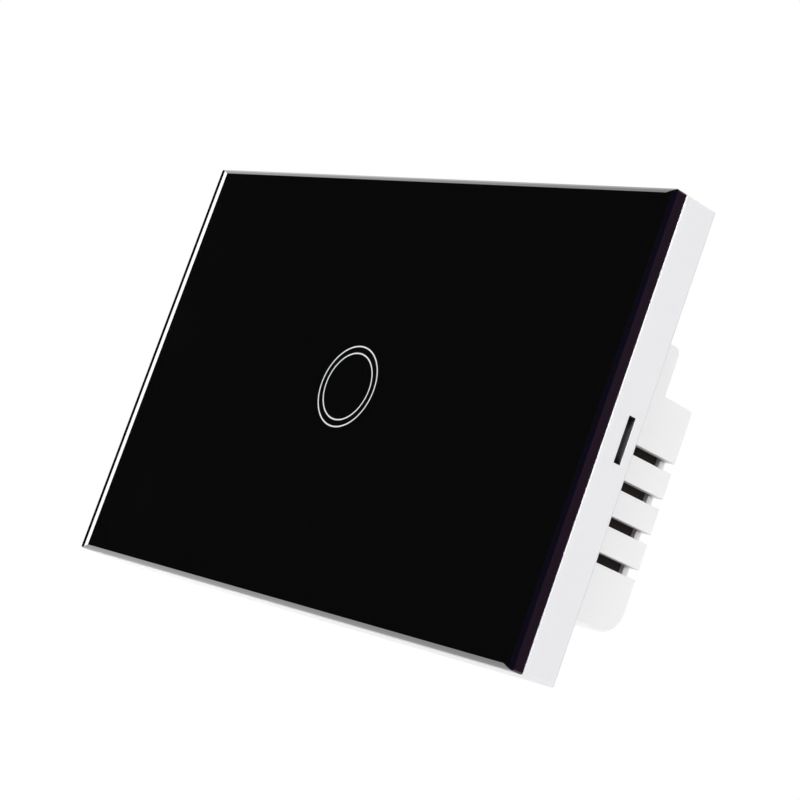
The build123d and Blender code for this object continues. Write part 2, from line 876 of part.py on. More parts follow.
def film_capacitor():
    """Box-shaped mains capacitor."""
    y0 = power_board_rear
    case = box_at(film_x, film_z, film_length, film_width, y0, y0 + film_height)
    rear = [e for e in case.edges() if e.bounding_box().min.Y > y0 + film_height / 2]
    return chamfer(rear, film_edge)


def varistor():
    """Disc varistor standing on the board."""
    y = power_board_rear + varistor_radius + slip
    disc = Pos(varistor_x, y, film_z) * Cylinder(varistor_radius, varistor_thickness)
    return fillet(disc.edges().filter_by(GeomType.CIRCLE), varistor_edge)


def fuse_tube():
    """Glass body of the fuse, inside its caps."""
    half = fuse_length / 2 - clip_wall
    return bar_along_z(fuse_x, fuse_y, fuse_glass_radius, room_mid_z - half, room_mid_z + half)


def fuse_caps():
    """Metal caps on the fuse's ends."""
    caps = []
    for side in (-1, 1):
        end = room_mid_z + side * fuse_length / 2
        inner = end - side * fuse_cap_length
        cap = bar_along_z(fuse_x, fuse_y, fuse_radius, min(end, inner), max(end, inner))
        caps.append(cap - fuse_tube())
    return caps


def fuse_clips():
    """Spring clips on the power board that hold the caps."""
    clips = []
    for side in (-1, 1):
        z = room_mid_z + side * (fuse_length - fuse_cap_length) / 2
        half = clip_length / 2 + overrun
        clip = box_at(fuse_x, z, 2 * clip_outer, clip_length, power_board_rear, fuse_y + fuse_radius / 2)
        clip -= bar_along_z(fuse_x, fuse_y, fuse_radius + slip / 2, z - half, z + half)
        throat = fuse_radius * clip_mouth_share
        clip -= box_at(fuse_x, z, 2 * throat, 2 * half, fuse_y, fuse_y + 2 * fuse_radius)
        clips.append(clip)
    return clips


def inductor_core():
    """Ferrite spool of the power inductor."""
    y0, y1 = power_board_rear, power_board_rear + inductor_height
    core = rod(inductor_x, inductor_z, inductor_hub, y0, y1)
    for y in (y0, y1 - inductor_flange):
        core += rod(inductor_x, inductor_z, inductor_radius, y, y + inductor_flange)
    return core


def inductor_winding():
    """Copper winding in the spool."""
    y0 = power_board_rear + inductor_flange + thread_slack
    y1 = power_board_rear + inductor_height - inductor_flange - thread_slack
    return tube(
        inductor_x, inductor_z, inductor_radius - inductor_fill, inductor_hub + thread_slack, y0, y1
    )


def bridge_rectifier():
    """Small rectifier block."""
    return box_at(
        can_x, bridge_z, bridge_length, bridge_width, power_board_rear, power_board_rear + bridge_height
    )


os.makedirs("parts", exist_ok=True)

save("glass_panel", glass_panel())
save("ring_marks", *ring_marks())
save("panel_frame", panel_frame())
save("panel_tape", *panel_tape())
save("light_diffuser", light_diffuser())
save("mounting_chassis", mounting_chassis())
save("rear_housing", rear_housing())
save("inner_cover", inner_cover())
save("cover_screws", *[cover_screw(x, z) for x, z in boss_spots])
save("chassis_screws", *[chassis_screw(x, z) for x, z in ear_spots])
save("touch_board", touch_board())
save("touch_spring", touch_spring())
save("touch_chip", touch_chip())
save("status_leds", *status_leds())
save("header_pins", *header_pins())
save("header_plug", header_body(touch_board_rear, touch_board_rear + header_height))
save("header_socket", header_body(touch_board_rear + header_height, power_board_front))
save("board_spacers", *board_spacers())
save("power_board", power_board())
save("insulating_sleeve", insulating_sleeve())
save("terminal_block", terminal_block())
save("terminal_bars", *[terminal_bar(x) for x in terminal_xs])
for number, x in enumerate(terminal_xs, start=1):
    save(f"terminal_screw_{number}", terminal_screw(x))
    save(f"clamp_cage_{number}", clamp_cage(x))
save("relay_base", relay_base())
save("relay_cover", relay_cover())
save("relay_yoke", relay_yoke())
save("relay_core", relay_core())
save("relay_bobbin", relay_bobbin())
save("relay_coil", relay_coil())
save("relay_armature", relay_armature())
save("relay_contact_arm", relay_contact_arm())
save("relay_fixed_contact", relay_fixed_contact())
save("smoothing_capacitor", smoothing_capacitor())
save("film_capacitor", film_capacitor())
save("varistor", varistor())
save("fuse_tube", fuse_tube())
save("fuse_caps", *fuse_caps())
save("fuse_clips", *fuse_clips())
save("inductor_core", inductor_core())
save("inductor_winding", inductor_winding())
save("bridge_rectifier", bridge_rectifier())

print("terminal screws at x", terminal_xs, "y", round(screw_seat, 3), "z", round(screw_z, 3))
print("cage travel", cage_travel)
print("wire mouths at y", round(wire_y, 3), "z", round(cavity_top, 3), "to", round(terminal_top, 3))
print("armature pivot at x", round(yoke_x, 3), "y", round(armature_front, 3), "z", round(room_mid_z, 3))
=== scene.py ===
# %% [markdown]
# # A touch light switch
# This file dresses a finished CAD model of a one-gang touch light switch: a black glass plate with a
# ring in it, a white clip-fit frame, a steel chassis and a stepped white housing full of small parts.
# The CAD says where everything is, so nothing here is moved. The cells give each piece its finish, or
# replace a plain solid with one that shows more. Lengths are in metres, or in millimetres where the
# text says so.

# %% Load the model
import json
import math

import bpy
from mathutils import Matrix, Vector


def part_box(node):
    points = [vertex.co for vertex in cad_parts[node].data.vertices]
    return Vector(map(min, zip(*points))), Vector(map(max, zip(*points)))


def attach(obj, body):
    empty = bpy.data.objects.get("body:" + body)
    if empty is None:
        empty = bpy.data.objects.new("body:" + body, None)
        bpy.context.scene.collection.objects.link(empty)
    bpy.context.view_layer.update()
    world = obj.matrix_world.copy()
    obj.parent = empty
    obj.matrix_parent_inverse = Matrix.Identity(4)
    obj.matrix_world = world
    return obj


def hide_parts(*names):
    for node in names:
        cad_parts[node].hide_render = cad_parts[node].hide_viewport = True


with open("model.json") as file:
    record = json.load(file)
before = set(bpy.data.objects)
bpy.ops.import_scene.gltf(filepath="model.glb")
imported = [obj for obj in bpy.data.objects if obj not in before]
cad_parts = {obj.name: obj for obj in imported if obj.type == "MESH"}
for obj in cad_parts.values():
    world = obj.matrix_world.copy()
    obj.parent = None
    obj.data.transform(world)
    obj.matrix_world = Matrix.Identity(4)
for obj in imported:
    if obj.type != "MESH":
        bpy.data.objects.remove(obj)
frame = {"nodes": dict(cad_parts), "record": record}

MM = 0.001
WHITE = (1.0, 1.0, 1.0, 1.0)
scene = bpy.context.scene
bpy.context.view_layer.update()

# %% [markdown]
# ## The camera
# The switch is seen from its right side and a little from below, with the camera rolled, so that the
# plate leans in the picture. A long lens keeps its edges nearly parallel. The three directions below
# are the camera's own right, up and back, which are the columns of its matrix.

# %% Camera
CAMERA_PLACE = Vector((0.30821, -0.23855, -0.05597))
CAMERA_RIGHT = Vector((0.618823, 0.711104, 0.333751))
CAMERA_UP = Vector((-0.099468, -0.350518, 0.931259))
CAMERA_BACK = Vector((0.779208, -0.609481, -0.146177))
camera_data = bpy.data.cameras.new("camera")
camera_data.sensor_width = 36.0
camera_data.lens = 106.06
camera_data.clip_start = 0.01
camera = bpy.data.objects.new("camera", camera_data)
scene.collection.objects.link(camera)
columns = [CAMERA_RIGHT, CAMERA_UP, CAMERA_BACK, CAMERA_PLACE]
camera.matrix_world = Matrix([[c[i] for c in columns] for i in range(3)] + [[0, 0, 0, 1]])
scene.camera = camera
print("camera to centre", round(CAMERA_PLACE.length, 3), "m")

# %% [markdown]
# ## A small kit for shader nodes
# Every material here is built from nodes, so a few short helpers save a lot of typing. The first adds
# a node and sets or links its inputs. The next three use it for the commonest steps: a blend of two
# colours, a value taken from one range to another, and plain arithmetic. The last two start a node
# group and a material. A group hands back colours, masks, values and normals only. The shader itself
# stays in each material.

# %% Helpers for shader nodes
def add(tree, kind, settings=None, **inputs):
    """A node whose inputs are values, or sockets to link from. Digits in a name count inputs."""
    node = tree.nodes.new(kind)
    for key, value in (settings or {}).items():
        setattr(node, key, value)
    for key, value in inputs.items():
        socket = node.inputs[int(key[1:]) if key[1:].isdigit() else key.replace("_", " ")]
        if isinstance(value, bpy.types.NodeSocket):
            tree.links.new(value, socket)
        else:
            socket.default_value = value
    return node


def blend(tree, factor, first, second):
    """The colour that lies this far on the way from the first to the second."""
    node = add(tree, "ShaderNodeMix", {"data_type": "RGBA"}, _0=factor, _6=first, _7=second)
    return node.outputs[2]


def remap(tree, value, low, high, low_result=0.0, high_result=1.0):
    """A value between low and high, taken over to a value between two results."""
    node = add(
        tree, "ShaderNodeMapRange", _0=value, _1=low, _2=high, _3=low_result, _4=high_result
    )
    return node.outputs[0]


def maths(tree, operation, first, second, clamp=False):
    """The result of one step of arithmetic, kept between zero and one if clamp is set."""
    node = add(
        tree, "ShaderNodeMath", {"operation": operation, "use_clamp": clamp}, _0=first, _1=second
    )
    return node.outputs[0]


def start_group(name, inputs, outputs):
    """A shader node group with named inputs and their first values, and named outputs."""
    group = bpy.data.node_groups.new(name, "ShaderNodeTree")
    for label, kind, value in inputs:
        socket = group.interface.new_socket(label, in_out="INPUT", socket_type="NodeSocket" + kind)
        socket.default_value = value
    for label, kind in outputs:
        group.interface.new_socket(label, in_out="OUTPUT", socket_type="NodeSocket" + kind)
    return group, group.nodes.new("NodeGroupInput"), group.nodes.new("NodeGroupOutput")


def start_material(name):
    """A new material, with its tree of nodes and the shader in it."""
    material = bpy.data.materials.new(name)
    material.use_nodes = True
    return material, material.node_tree, material.node_tree.nodes["Principled BSDF"]


# %% [markdown]
# ## Worn and softened edges, with a painted highlight
# No moulded or pressed edge is perfectly sharp. The Bevel node looks round an edge and returns a
# rounded normal. Where that differs from the true normal there is an edge, which gives a mask at no
# cost in geometry. It serves for wear, and also for a painted highlight, since the edges it marks
# turn paler. A little noise breaks the mask up, so the wear and the highlight aren't even.

# %% Group: edge wear and painted highlight
def build_edge_wear_highlight():
    group, start, end = start_group(
        "edge_wear_highlight",
        [("Radius", "Float", 0.12 * MM), ("Amount", "Float", 4.0), ("Patch Size", "Float", 900.0)],
        [("Mask", "Float"), ("Normal", "Vector")],
    )
    place = add(group, "ShaderNodeTexCoord")
    rounded = add(group, "ShaderNodeBevel", {"samples": 4}, Radius=start.outputs["Radius"])
    true = add(group, "ShaderNodeNewGeometry")
    same = add(
        group, "ShaderNodeVectorMath", {"operation": "DOT_PRODUCT"},
        _0=rounded.outputs["Normal"], _1=true.outputs["Normal"],
    )
    edge = maths(group, "SUBTRACT", 1.0, same.outputs["Value"])
    strong = maths(group, "MULTIPLY", edge, start.outputs["Amount"])
    patches = add(
        group, "ShaderNodeTexNoise",
        Vector=place.outputs["Object"], Scale=start.outputs["Patch Size"],
    )
    # The mask marks edges both for wear and for a painted highlight.
    broken = maths(group, "MULTIPLY", strong, patches.outputs["Fac"], clamp=True)
    group.links.new(broken, end.inputs["Mask"])
    group.links.new(rounded.outputs["Normal"], end.inputs["Normal"])
    return group


edge_wear_highlight = build_edge_wear_highlight()
print("group", edge_wear_highlight.name, [s.name for s in edge_wear_highlight.interface.items_tree])

# %% [markdown]
# ## Painted shade in crevices
# Narrow slots in pale plastic look nearly black, since little light finds its way in. That shade is
# painted into the colour here. The Ambient Occlusion node measures how closed in a point is, which
# gives a mask that is one deep in a slot and zero on open faces.

# %% Group: painted crevice shade
def build_painted_crevice_shade():
    group, start, end = start_group(
        "painted_crevice_shade",
        [("Reach", "Float", 4.0 * MM), ("Open", "Float", 0.75), ("Closed", "Float", 0.5)],
        [("Mask", "Float")],
    )
    # Painted shade: the mask is one where a point is closed in and little light reaches it.
    around = add(
        group, "ShaderNodeAmbientOcclusion", {"samples": 8}, Distance=start.outputs["Reach"]
    )
    mask = remap(group, around.outputs["AO"], start.outputs["Open"], start.outputs["Closed"])
    group.links.new(mask, end.inputs["Mask"])
    return group


painted_crevice_shade = build_painted_crevice_shade()
print("group", painted_crevice_shade.name)

# %% [markdown]
# ## Moulded plastic and fired surfaces
# Moulded plastic has a very fine orange-peel texture from the tool, and its colour drifts a little
# where it cooled unevenly. Two noises do this: a fine one for the height and gloss, and a wide one
# for the colour. Nearly all of a noise lies between two values, which are spread over the gloss.

# %% Group: moulded surface
NOISE_LOW, NOISE_HIGH = 0.3, 0.7


def build_moulded_surface():
    group, start, end = start_group(
        "moulded_surface",
        [
            ("Colour", "Color", (0.8, 0.8, 0.8, 1)),
            ("Drift Colour", "Color", (0.75, 0.75, 0.75, 1)),
            ("Grain Size", "Float", 3000.0), ("Drift Size", "Float", 60.0),
            ("Smoothest", "Float", 0.3), ("Roughest", "Float", 0.4),
        ],
        [("Color", "Color"), ("Roughness", "Float"), ("Height", "Float")],
    )
    place = add(group, "ShaderNodeTexCoord").outputs["Object"]
    drift = add(
        group, "ShaderNodeTexNoise", Vector=place, Scale=start.outputs["Drift Size"], Detail=3.0
    ).outputs["Fac"]
    grain = add(
        group, "ShaderNodeTexNoise", Vector=place, Scale=start.outputs["Grain Size"], Detail=2.0
    ).outputs["Fac"]
    colour = blend(group, drift, start.outputs["Colour"], start.outputs["Drift Colour"])
    gloss = remap(
        group, grain, NOISE_LOW, NOISE_HIGH, start.outputs["Smoothest"], start.outputs["Roughest"]
    )
    group.links.new(colour, end.inputs["Color"])
    group.links.new(gloss, end.inputs["Roughness"])
    group.links.new(grain, end.inputs["Height"])
    return group


moulded_surface = build_moulded_surface()
print("group", moulded_surface.name)

# %% [markdown]
# ## Drawn and rolled metal
# Rolled sheet and drawn wire keep fine lines along the way they were worked. Stretching a noise far
# more one way than the others gives these lines, and a wide noise adds the cloudy spangle of plating.

# %% Group: worked metal
def build_worked_metal():
    group, start, end = start_group(
        "worked_metal",
        [
            ("Colour", "Color", (0.6, 0.6, 0.6, 1)), ("Cloud Colour", "Color", (0.5, 0.5, 0.5, 1)),
            ("Line Scale", "Vector", (200.0, 200.0, 9000.0)), ("Cloud Size", "Float", 300.0),
            ("Smoothest", "Float", 0.2), ("Roughest", "Float", 0.4),
        ],
        [("Color", "Color"), ("Roughness", "Float"), ("Height", "Float")],
    )
    place = add(group, "ShaderNodeTexCoord").outputs["Object"]
    stretched = add(
        group, "ShaderNodeVectorMath", {"operation": "MULTIPLY"},
        _0=place, _1=start.outputs["Line Scale"],
    ).outputs[0]
    lines = add(
        group, "ShaderNodeTexNoise", Vector=stretched, Scale=1.0, Detail=2.0
    ).outputs["Fac"]
    cloud = add(group, "ShaderNodeTexVoronoi", Vector=place, Scale=start.outputs["Cloud Size"])
    colour = blend(
        group, cloud.outputs["Distance"], start.outputs["Colour"], start.outputs["Cloud Colour"]
    )
    gloss = remap(
        group, lines, NOISE_LOW, NOISE_HIGH, start.outputs["Smoothest"], start.outputs["Roughest"]
    )
    group.links.new(colour, end.inputs["Color"])
    group.links.new(gloss, end.inputs["Roughness"])
    group.links.new(lines, end.inputs["Height"])
    return group


worked_metal = build_worked_metal()
print("group", worked_metal.name)

# %% [markdown]
# ## From a surface group to a material
# A material places a surface group and the edge group, and joins them in its own shader. Along edges
# the colour turns towards a second one: paler on plastic, brighter on plated metal. This is partly
# wear and partly a painted highlight. Where a material has a dark tone, that is painted shade in its
# crevices. The fine height goes through a Bump node on top of the rounded normal. A finish is given
# as its two colours, its least and greatest roughness, and the colour of its worn and highlighted
# edges.

# %% Material maker
made_materials = {}


def surface_material(
    name, surface, values, worn_highlight, depth, edge=0.12, wear=3.0, metallic=0.0, dark=None, **settings
):
    """A material with edges turned a second colour, partly from use and partly as a painted
    highlight, and with fine bump. Its depth of bump and edge are in millimetres. The shade painted
    into a crevice is given as its colour, with how open a place is where that colour starts, and
    where it is full."""
    material, tree, shader = start_material(name)
    look = add(tree, "ShaderNodeGroup", {"node_tree": surface})
    for label, value in values.items():
        look.inputs[label].default_value = value
    edges = add(tree, "ShaderNodeGroup", {"node_tree": edge_wear_highlight}, Radius=edge * MM, Amount=wear)
    # Edges turn paler: partly wear, partly a painted highlight.
    colour = blend(tree, edges.outputs["Mask"], look.outputs["Color"], (*worn_highlight, 1.0))
    # Painted shade: where a material has a dark tone, it fills places that little light reaches.
    if dark:
        tone, starts, full = dark
        deep = add(tree, "ShaderNodeGroup", {"node_tree": painted_crevice_shade}, Open=starts, Closed=full)
        colour = blend(tree, deep.outputs["Mask"], colour, (*tone, 1.0))
    bump = add(
        tree, "ShaderNodeBump", Strength=0.5, Distance=depth * MM,
        Height=look.outputs["Height"], Normal=edges.outputs["Normal"],
    )
    tree.links.new(colour, shader.inputs["Base Color"])
    tree.links.new(look.outputs["Roughness"], shader.inputs["Roughness"])
    tree.links.new(bump.outputs["Normal"], shader.inputs["Normal"])
    shader.inputs["Metallic"].default_value = metallic
    for key, value in settings.items():
        shader.inputs[key.replace("_", " ")].default_value = value
    made_materials[name] = material


def plastic(name, colour, drift, smooth, rough, worn_highlight, grain=3000.0, depth=0.01, **more):
    """A moulded, fired or dipped surface."""
    values = {
        "Colour": (*colour, 1.0), "Drift Colour": (*drift, 1.0),
        "Grain Size": grain, "Smoothest": smooth, "Roughest": rough,
    }
    surface_material(name, moulded_surface, values, worn_highlight, depth, **more)


def metal(
    name, colour, cloud, smooth, rough, worn_highlight, lines=(200.0, 200.0, 9000.0), depth=0.004, **more
):
    """A rolled, drawn or plated surface."""
    values = {
        "Colour": (*colour, 1.0), "Cloud Colour": (*cloud, 1.0), "Line Scale": lines,
        "Smoothest": smooth, "Roughest": rough,
    }
    surface_material(name, worked_metal, values, worn_highlight, depth, metallic=1.0, **more)


# %% [markdown]
# ## Whites, blacks and coloured plastics
# The frame is a touch glossier than the housing behind it. Both have painted shade in their slots and
# a painted highlight along their edges. The sleeve is dark fibre board, which helps to make the
# inside of the vents look nearly black.

# %% Plastics and fired parts
# The frame's pale edge colour is a painted highlight, and its near-black crevice colour is painted
# shade in its slot.
plastic(
    "white_plastic", (0.815, 0.815, 0.83), (0.795, 0.795, 0.815), 0.28, 0.36, (0.98, 0.98, 0.98),
    edge=0.3, dark=((0.008, 0.008, 0.009), 0.80, 0.58),
)
# The housing's pale edge colour is a painted highlight, and its brownish crevice colour is painted
# shade in its vents.
plastic(
    "housing_plastic", (0.92, 0.915, 0.92), (0.90, 0.895, 0.90), 0.40, 0.52, (0.98, 0.98, 0.98),
    depth=0.015, edge=0.2, dark=((0.032, 0.019, 0.019), 0.40, 0.2),
)
plastic(
    "ring_enamel", (0.76, 0.76, 0.77), (0.72, 0.72, 0.73), 0.3, 0.4, (0.9, 0.9, 0.9),
    edge=0.02, wear=0.5,
)
plastic(
    "foam_tape", (0.72, 0.72, 0.69), (0.62, 0.62, 0.6), 0.8, 0.95, (0.75, 0.75, 0.72),
    grain=6000.0, depth=0.05,
)
plastic(
    "milky_plastic", (0.86, 0.88, 0.90), (0.8, 0.83, 0.86), 0.35, 0.45, (0.9, 0.92, 0.94),
    Subsurface_Weight=0.3, Subsurface_Scale=2 * MM,
)
plastic(
    "chip_black", (0.018, 0.018, 0.02), (0.03, 0.03, 0.032), 0.45, 0.6, (0.09, 0.09, 0.09),
    grain=9000.0,
)
plastic(
    "lamp_white", (0.88, 0.88, 0.84), (0.8, 0.8, 0.77), 0.25, 0.35, (0.93, 0.93, 0.9), edge=0.05
)
plastic(
    "dark_board", (0.022, 0.014, 0.012), (0.034, 0.022, 0.019), 0.6, 0.8, (0.07, 0.05, 0.045),
    depth=0.03,
)
plastic(
    "terminal_green", (0.045, 0.30, 0.115), (0.036, 0.25, 0.095), 0.35, 0.5, (0.10, 0.42, 0.2)
)
plastic(
    "relay_black", (0.018, 0.018, 0.021), (0.028, 0.028, 0.03), 0.22, 0.34, (0.07, 0.07, 0.075)
)
plastic(
    "relay_base_plastic", (0.028, 0.028, 0.03), (0.04, 0.04, 0.042), 0.4, 0.55, (0.08, 0.08, 0.08)
)
plastic("bobbin_white", (0.78, 0.76, 0.68), (0.7, 0.67, 0.58), 0.4, 0.55, (0.85, 0.83, 0.76))
plastic("can_black", (0.022, 0.025, 0.036), (0.032, 0.035, 0.048), 0.28, 0.42, (0.08, 0.085, 0.1))
plastic("film_yellow", (0.72, 0.50, 0.05), (0.64, 0.43, 0.04), 0.32, 0.45, (0.82, 0.64, 0.2))
plastic(
    "varistor_blue", (0.025, 0.11, 0.38), (0.02, 0.085, 0.3), 0.3, 0.5, (0.08, 0.2, 0.5),
    grain=1200.0, depth=0.06,
)
plastic(
    "ferrite", (0.045, 0.045, 0.05), (0.06, 0.058, 0.06), 0.5, 0.7, (0.13, 0.13, 0.135),
    grain=2200.0, depth=0.03,
)
print("plastics", len(made_materials))

# %% [markdown]
# ## Plated steel, brass and copper
# Zinc plate is bluish and cloudy, nickel a shade warmer, and brass and copper keep their own colour.
# The direction of the fine lines follows how each piece was rolled or turned.

# %% Metals
metal(
    "zinc_steel", (0.60, 0.62, 0.64), (0.48, 0.50, 0.53), 0.26, 0.42, (0.78, 0.8, 0.82),
    lines=(120.0, 200.0, 7000.0),
)
metal(
    "spring_wire", (0.68, 0.68, 0.66), (0.58, 0.58, 0.56), 0.16, 0.28, (0.82, 0.82, 0.8), edge=0.03
)
metal("cage_steel", (0.58, 0.57, 0.54), (0.5, 0.49, 0.46), 0.24, 0.38, (0.76, 0.75, 0.72))
metal("cap_nickel", (0.70, 0.69, 0.66), (0.62, 0.61, 0.58), 0.12, 0.24, (0.85, 0.84, 0.82))
metal("soft_iron", (0.42, 0.41, 0.40), (0.34, 0.33, 0.32), 0.34, 0.5, (0.6, 0.59, 0.57))
metal("bar_brass", (0.70, 0.52, 0.23), (0.6, 0.43, 0.18), 0.2, 0.36, (0.85, 0.7, 0.4))
metal("pin_gold", (0.78, 0.60, 0.24), (0.7, 0.52, 0.2), 0.18, 0.3, (0.9, 0.75, 0.4), edge=0.04)
metal(
    "copper", (0.66, 0.27, 0.11), (0.54, 0.2, 0.07), 0.2, 0.34, (0.8, 0.42, 0.2),
    edge=0.03, Coat_Weight=0.5,
)
print("materials so far", len(made_materials))

# %% [markdown]
# ## Black glass
# The plate is clear glass with black print behind it, so it looks black with a hard polished shine,
# and only its ground sides show a little purple brown. They start at a depth below the face, which
# tells the two apart. The face keeps very faint smears in its gloss but no bump at all, since any
# waviness would show at once in a mirror-like surface. The fuse's tube is clear glass.

# %% Glass materials
GLASS_BENDING = 1.5
GROUND_STARTS, GROUND_FULL = 0.22 * MM, 0.26 * MM
GROUND_ROUGHNESS = 0.14


def build_black_glass():
    material, tree, shader = start_material("black_glass")
    place = add(tree, "ShaderNodeTexCoord").outputs["Object"]
    depth = add(tree, "ShaderNodeSeparateXYZ", Vector=place).outputs["Y"]
    face_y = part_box("glass_panel")[0].y
    side = remap(tree, depth, face_y + GROUND_STARTS, face_y + GROUND_FULL)
    haze = add(tree, "ShaderNodeTexNoise", Vector=place, Scale=45.0, Detail=4.0).outputs["Fac"]
    side_tint = blend(tree, haze, (0.0135, 0.0070, 0.0140, 1.0), (0.0170, 0.0095, 0.0175, 1.0))
    colour = blend(tree, side, (0.0030, 0.0030, 0.0032, 1.0), side_tint)
    smears = remap(tree, haze, 0.35, 0.7, 0.03, 0.055)
    gloss = add(
        tree, "ShaderNodeMix", {"data_type": "FLOAT"}, _0=side, _2=smears, _3=GROUND_ROUGHNESS
    ).outputs[0]
    grit = add(tree, "ShaderNodeTexNoise", Vector=place, Scale=5000.0).outputs["Fac"]
    height = maths(tree, "MULTIPLY", grit, side)
    bump = add(tree, "ShaderNodeBump", Strength=0.3, Distance=0.004 * MM, Height=height)
    tree.links.new(colour, shader.inputs["Base Color"])
    tree.links.new(gloss, shader.inputs["Roughness"])
    tree.links.new(bump.outputs["Normal"], shader.inputs["Normal"])
    shader.inputs["IOR"].default_value = GLASS_BENDING
    made_materials["black_glass"] = material


def build_fuse_glass():
    material, tree, shader = start_material("fuse_glass")
    place = add(tree, "ShaderNodeTexCoord").outputs["Object"]
    streaks = add(tree, "ShaderNodeTexNoise", Vector=place, Scale=400.0, Detail=2.0).outputs["Fac"]
    gloss = remap(tree, streaks, NOISE_LOW, NOISE_HIGH, 0.02, 0.08)
    tint = blend(tree, streaks, (0.93, 0.96, 0.95, 1.0), (0.86, 0.91, 0.89, 1.0))
    tree.links.new(tint, shader.inputs["Base Color"])
    tree.links.new(gloss, shader.inputs["Roughness"])
    shader.inputs["Transmission Weight"].default_value = 1.0
    shader.inputs["IOR"].default_value = GLASS_BENDING
    made_materials["fuse_glass"] = material


build_black_glass()
build_fuse_glass()

# %% [markdown]
# ## Circuit boards
# A board is glass fibre under a green lacquer, with copper tracks raised under it. A Brick texture
# read in the plane of the board draws long straight runs, and its mortar lines are the gaps between
# them. The tracks are a shade lighter and stand a few hundredths of a millimetre high.

# %% Group and material: circuit board
def build_board_tracks():
    group, start, end = start_group(
        "board_tracks",
        [
            ("Lacquer", "Color", (0.012, 0.12, 0.045, 1)), ("Track", "Color", (0.025, 0.21, 0.08, 1)),
            ("Pattern Scale", "Float", 220.0),
        ],
        [("Color", "Color"), ("Roughness", "Float"), ("Height", "Float")],
    )
    place = add(group, "ShaderNodeTexCoord").outputs["Object"]
    turned = add(
        group, "ShaderNodeMapping", Vector=place, Rotation=(math.radians(90), 0.0, 0.0)
    ).outputs[0]
    gaps = add(
        group, "ShaderNodeTexBrick", {"offset": 0.37, "squash": 1.0}, Vector=turned,
        Scale=start.outputs["Pattern Scale"], Mortar_Size=0.09, Mortar_Smooth=0.1,
        Brick_Width=2.6, Row_Height=0.42,
    ).outputs["Fac"]
    colour = blend(group, gaps, start.outputs["Track"], start.outputs["Lacquer"])
    raised = maths(group, "SUBTRACT", 1.0, gaps)
    gloss = remap(group, raised, 0.0, 1.0, 0.42, 0.3)
    group.links.new(colour, end.inputs["Color"])
    group.links.new(gloss, end.inputs["Roughness"])
    group.links.new(raised, end.inputs["Height"])
    return group


board_tracks = build_board_tracks()
surface_material("circuit_board", board_tracks, {}, (0.3, 0.34, 0.2), 0.03, edge=0.1, wear=2.0)
print("materials", len(made_materials))

# %% [markdown]
# ## Dressing the CAD nodes
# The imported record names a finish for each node, so one loop puts every material where it belongs.
# Only the material slots are touched. The meshes stay exactly as the CAD made them.

# %% Materials on the nodes
slot_of = {part["node"]: part["material_slot"] for part in frame["record"]["subparts"]}
for name, node in frame["nodes"].items():
    if not node.data.materials:
        node.data.materials.append(None)
    for slot in node.material_slots:
        slot.material = made_materials[slot_of[name]]
unused = sorted(set(made_materials) - set(slot_of.values()))
print("dressed", len(slot_of), "nodes, finishes no node uses:", unused)

# %% [markdown]
# ## Pieces that repeat
# Screws, pins and turns of wire each follow a rule, so Geometry Nodes grow them from a few sizes.
# The object's own vertices are the places where a copy goes. Once evaluated, the result is kept as a
# plain mesh and the modifier is taken off, so that the mesh is exactly what shows.

# %% Helpers for geometry trees
def start_tree(name, inputs):
    """A geometry tree with named inputs, which takes the places as points."""
    tree = bpy.data.node_groups.new(name, "GeometryNodeTree")
    tree.interface.new_socket("Geometry", in_out="INPUT", socket_type="NodeSocketGeometry")
    for label, kind, value in inputs:
        socket = tree.interface.new_socket(label, in_out="INPUT", socket_type="NodeSocket" + kind)
        if value is not None:
            socket.default_value = value
    tree.interface.new_socket("Geometry", in_out="OUTPUT", socket_type="NodeSocketGeometry")
    return tree, tree.nodes.new("NodeGroupInput"), tree.nodes.new("NodeGroupOutput")


def finish_tree(tree, start, end, shape):
    """Copies the shape to each place, turned as asked, and makes the copies real."""
    copies = add(
        tree, "GeometryNodeInstanceOnPoints", Points=start.outputs["Geometry"],
        Instance=shape, Rotation=start.outputs["Lean"],
    )
    real = add(tree, "GeometryNodeRealizeInstances", Geometry=copies.outputs[0])
    finish = add(
        tree, "GeometryNodeSetMaterial", Geometry=real.outputs[0], Material=start.outputs["Finish"]
    )
    tree.links.new(finish.outputs[0], end.inputs["Geometry"])


def grow(name, spots, tree, body, replaced, slot, **sizes):
    """Grows a piece on these spots, keeps it as a plain mesh and puts it on its body."""
    mesh = bpy.data.meshes.new(name + "_spots")
    mesh.from_pydata([tuple(s) for s in spots], [], [])
    piece = bpy.data.objects.new(name, mesh)
    modifier = piece.modifiers.new("grow", "NODES")
    modifier.node_group = tree
    ids = {s.name: s.identifier for s in tree.interface.items_tree if s.in_out == "INPUT"}
    for label, value in sizes.items():
        modifier[ids[label.replace("_", " ")]] = value
    modifier[ids["Finish"]] = made_materials[slot]
    scene.collection.objects.link(piece)
    graph = bpy.context.evaluated_depsgraph_get()
    shape = bpy.data.meshes.new_from_object(piece.evaluated_get(graph))
    piece.modifiers.clear()
    piece.data = shape
    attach(piece, body)
    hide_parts(*replaced)
    print(name, len(shape.polygons), "faces on", len(spots), "spots")


# %% [markdown]
# ## Turns of wire
# A spiral curve is the wire's centre line, and a small circle swept along it is the wire. The same
# tree winds the touch spring, the relay's coil and the inductor's. Only the sizes differ.

